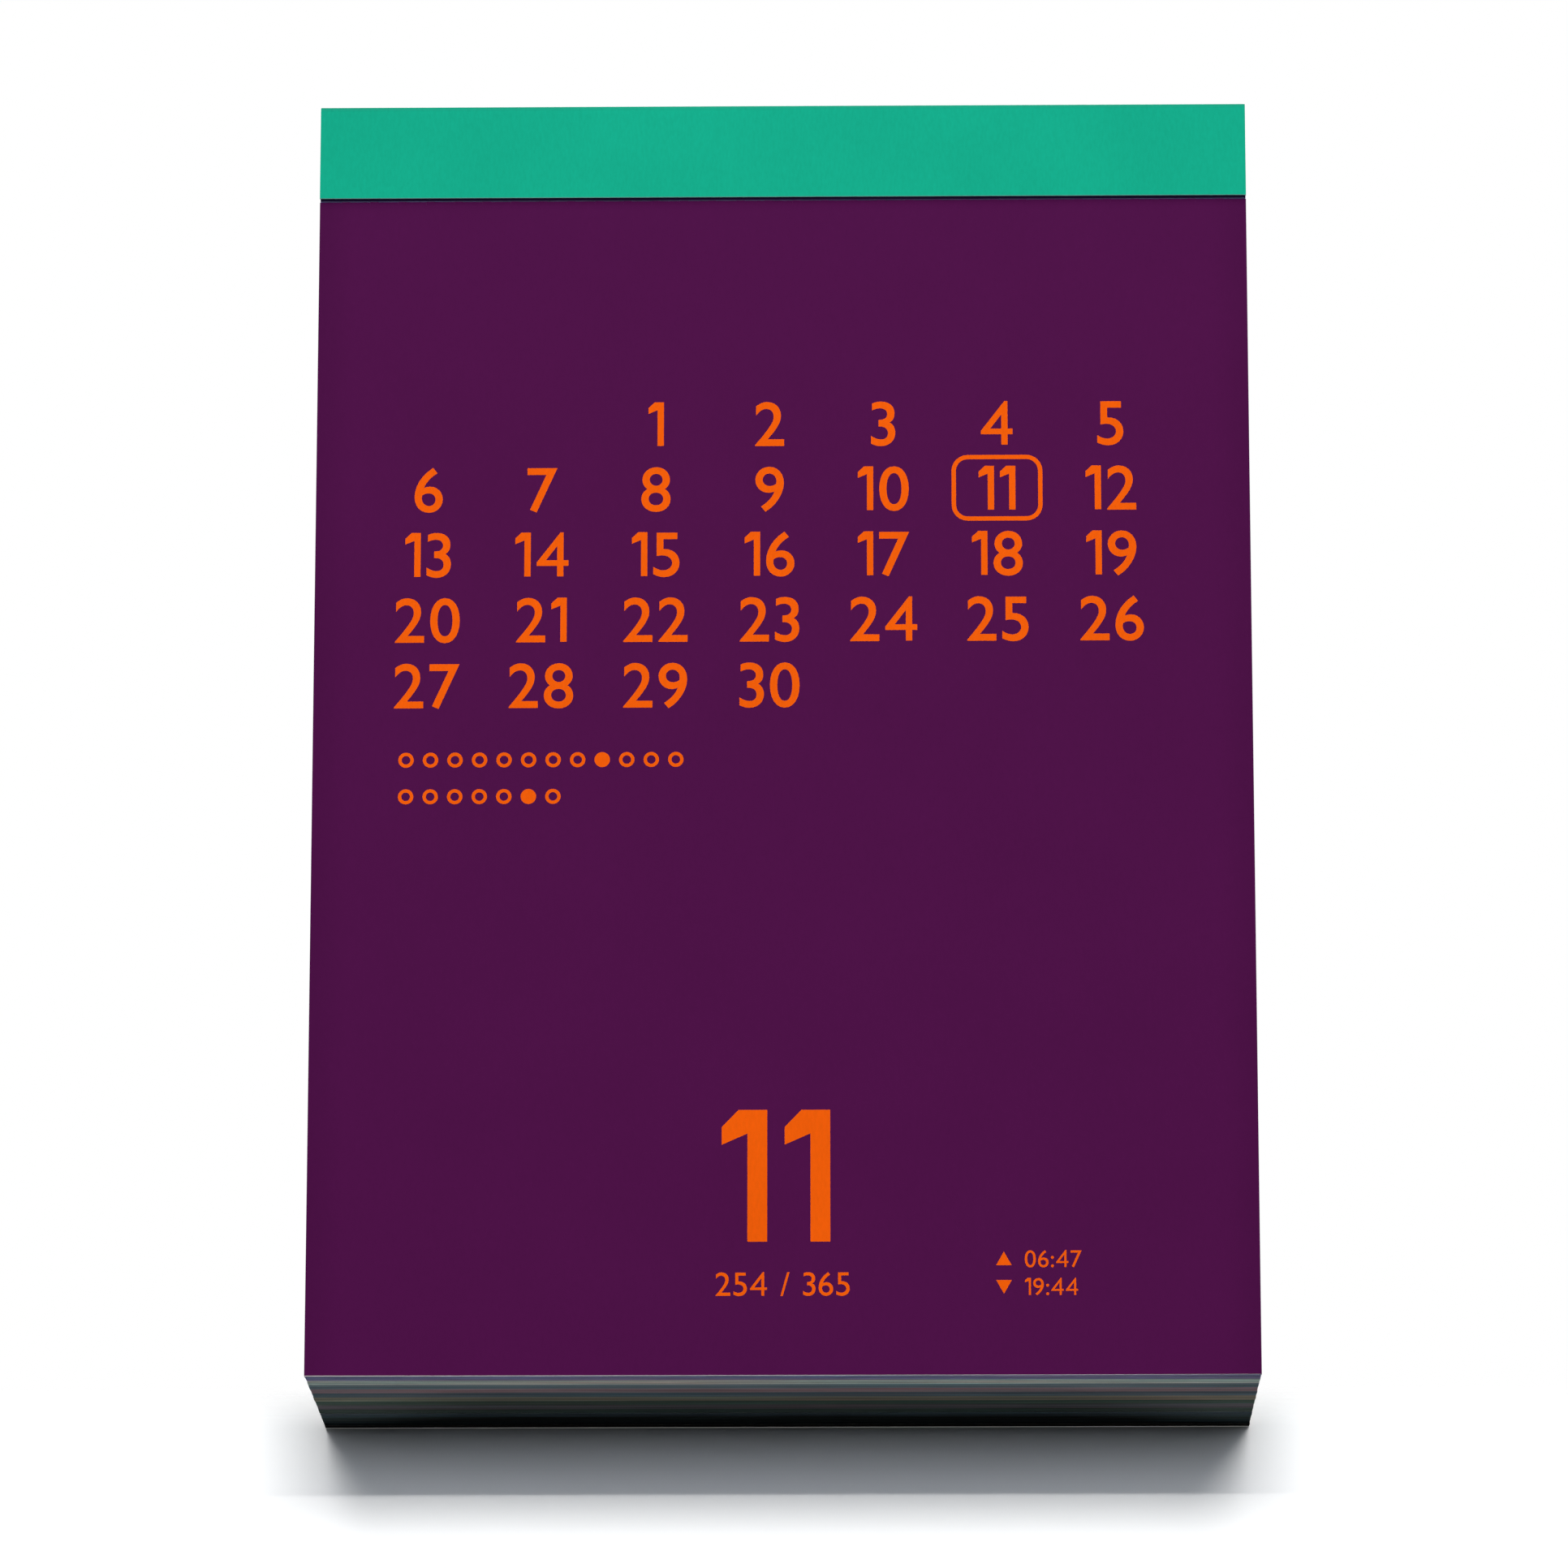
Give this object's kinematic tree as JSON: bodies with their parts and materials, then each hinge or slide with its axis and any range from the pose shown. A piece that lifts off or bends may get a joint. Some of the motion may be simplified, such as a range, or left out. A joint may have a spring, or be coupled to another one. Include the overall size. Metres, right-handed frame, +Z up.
{
  "type": "tear-off day calendar",
  "caption": "Upright block of day leaves under a folded head strip, each leaf torn off along a perforated line, on a greyboard back with a hanging hole and a fold-out easel tongue.",
  "frame": {"origin": "middle of the foot: middle of the width and of the depth, on the plane of the leaves' lower edges", "axes": "+Z up the page, +X to the reader's right, +Y from the printed front towards the back board"},
  "size_m": [0.115, 0.0392, 0.16],
  "materials": {
    "front_leaf_paper": "matte",
    "leaf_paper": "matte",
    "strip_card": "satin",
    "greyboard": "matte",
    "padding_glue": "satin",
    "staple_wire": "satin"
  },
  "bodies": {
    "block": {"head_strip": "strip_card", "head_glue": "padding_glue", "stub_pack": "leaf_paper", "front_staples": "staple_wire", "rear_staples": "staple_wire", "back_board": "greyboard", "leaf_bundle_01": "leaf_paper", "leaf_bundle_02": "leaf_paper", "leaf_bundle_03": "leaf_paper", "leaf_bundle_04": "leaf_paper", "leaf_bundle_05": "leaf_paper", "leaf_bundle_06": "leaf_paper", "leaf_bundle_07": "leaf_paper", "leaf_bundle_08": "leaf_paper", "leaf_bundle_09": "leaf_paper", "leaf_bundle_10": "leaf_paper", "leaf_bundle_11": "leaf_paper", "leaf_bundle_12": "leaf_paper"},
    "tear_line": {"tear_ties": "front_leaf_paper"},
    "front_leaf": {"leaf_01": "front_leaf_paper"},
    "second_leaf": {"leaf_02": "leaf_paper"},
    "third_leaf": {"leaf_03": "leaf_paper"},
    "fourth_leaf": {"leaf_04": "leaf_paper"},
    "fifth_leaf": {"leaf_05": "leaf_paper"},
    "easel": {"stand_flap": "greyboard"}
  },
  "joints": [
    {"name": "leaf_lift", "type": "hinge", "parent": "block", "child": "tear_line", "pos_m": [0, -0.01925, 0.14765], "axis": [-1, 0, 0], "range_deg": [0, 115]},
    {"name": "front_leaf_tear_off", "type": "slide", "parent": "tear_line", "child": "front_leaf", "axis": [0, 0, -1], "range_m": [0, 0.165]},
    {"name": "second_leaf_tear_off", "type": "slide", "parent": "block", "child": "second_leaf", "axis": [0, 0, -1], "range_m": [0, 0.165]},
    {"name": "third_leaf_tear_off", "type": "slide", "parent": "block", "child": "third_leaf", "axis": [0, 0, -1], "range_m": [0, 0.165]},
    {"name": "fourth_leaf_tear_off", "type": "slide", "parent": "block", "child": "fourth_leaf", "axis": [0, 0, -1], "range_m": [0, 0.165]},
    {"name": "fifth_leaf_tear_off", "type": "slide", "parent": "block", "child": "fifth_leaf", "axis": [0, 0, -1], "range_m": [0, 0.165]},
    {"name": "easel_fold", "type": "hinge", "parent": "block", "child": "easel", "pos_m": [0, 0.01925, 0.112], "axis": [1, 0, 0], "range_deg": [0, 60]}
  ]
}
